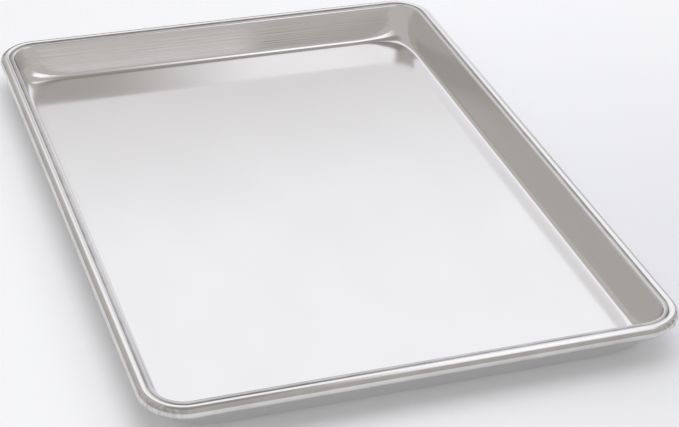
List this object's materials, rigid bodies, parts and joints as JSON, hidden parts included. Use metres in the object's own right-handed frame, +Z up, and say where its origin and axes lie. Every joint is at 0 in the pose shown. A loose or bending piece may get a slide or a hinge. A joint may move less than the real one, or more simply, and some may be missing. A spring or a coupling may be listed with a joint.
{
  "type": "sheet pan",
  "caption": "Shallow rectangular aluminium baking tray with drafted walls, soft corners and a rolled rim stiffened by a hidden wire, for baking and roasting.",
  "frame": {"origin": "middle of the pan's flat underside, on the surface it stands on", "axes": "+Z up, square to the floor of the pan; +Y along the long side; +X along the short side"},
  "size_m": [0.33, 0.457, 0.027],
  "materials": {
    "satin_aluminium": "natural drawn sheet, satin, with fine draw lines on the walls",
    "galvanised_steel": "dull zinc coat"
  },
  "bodies": {
    "root": {"pan_body": "satin_aluminium", "rim_wire": "galvanised_steel"}
  },
  "joints": []
}
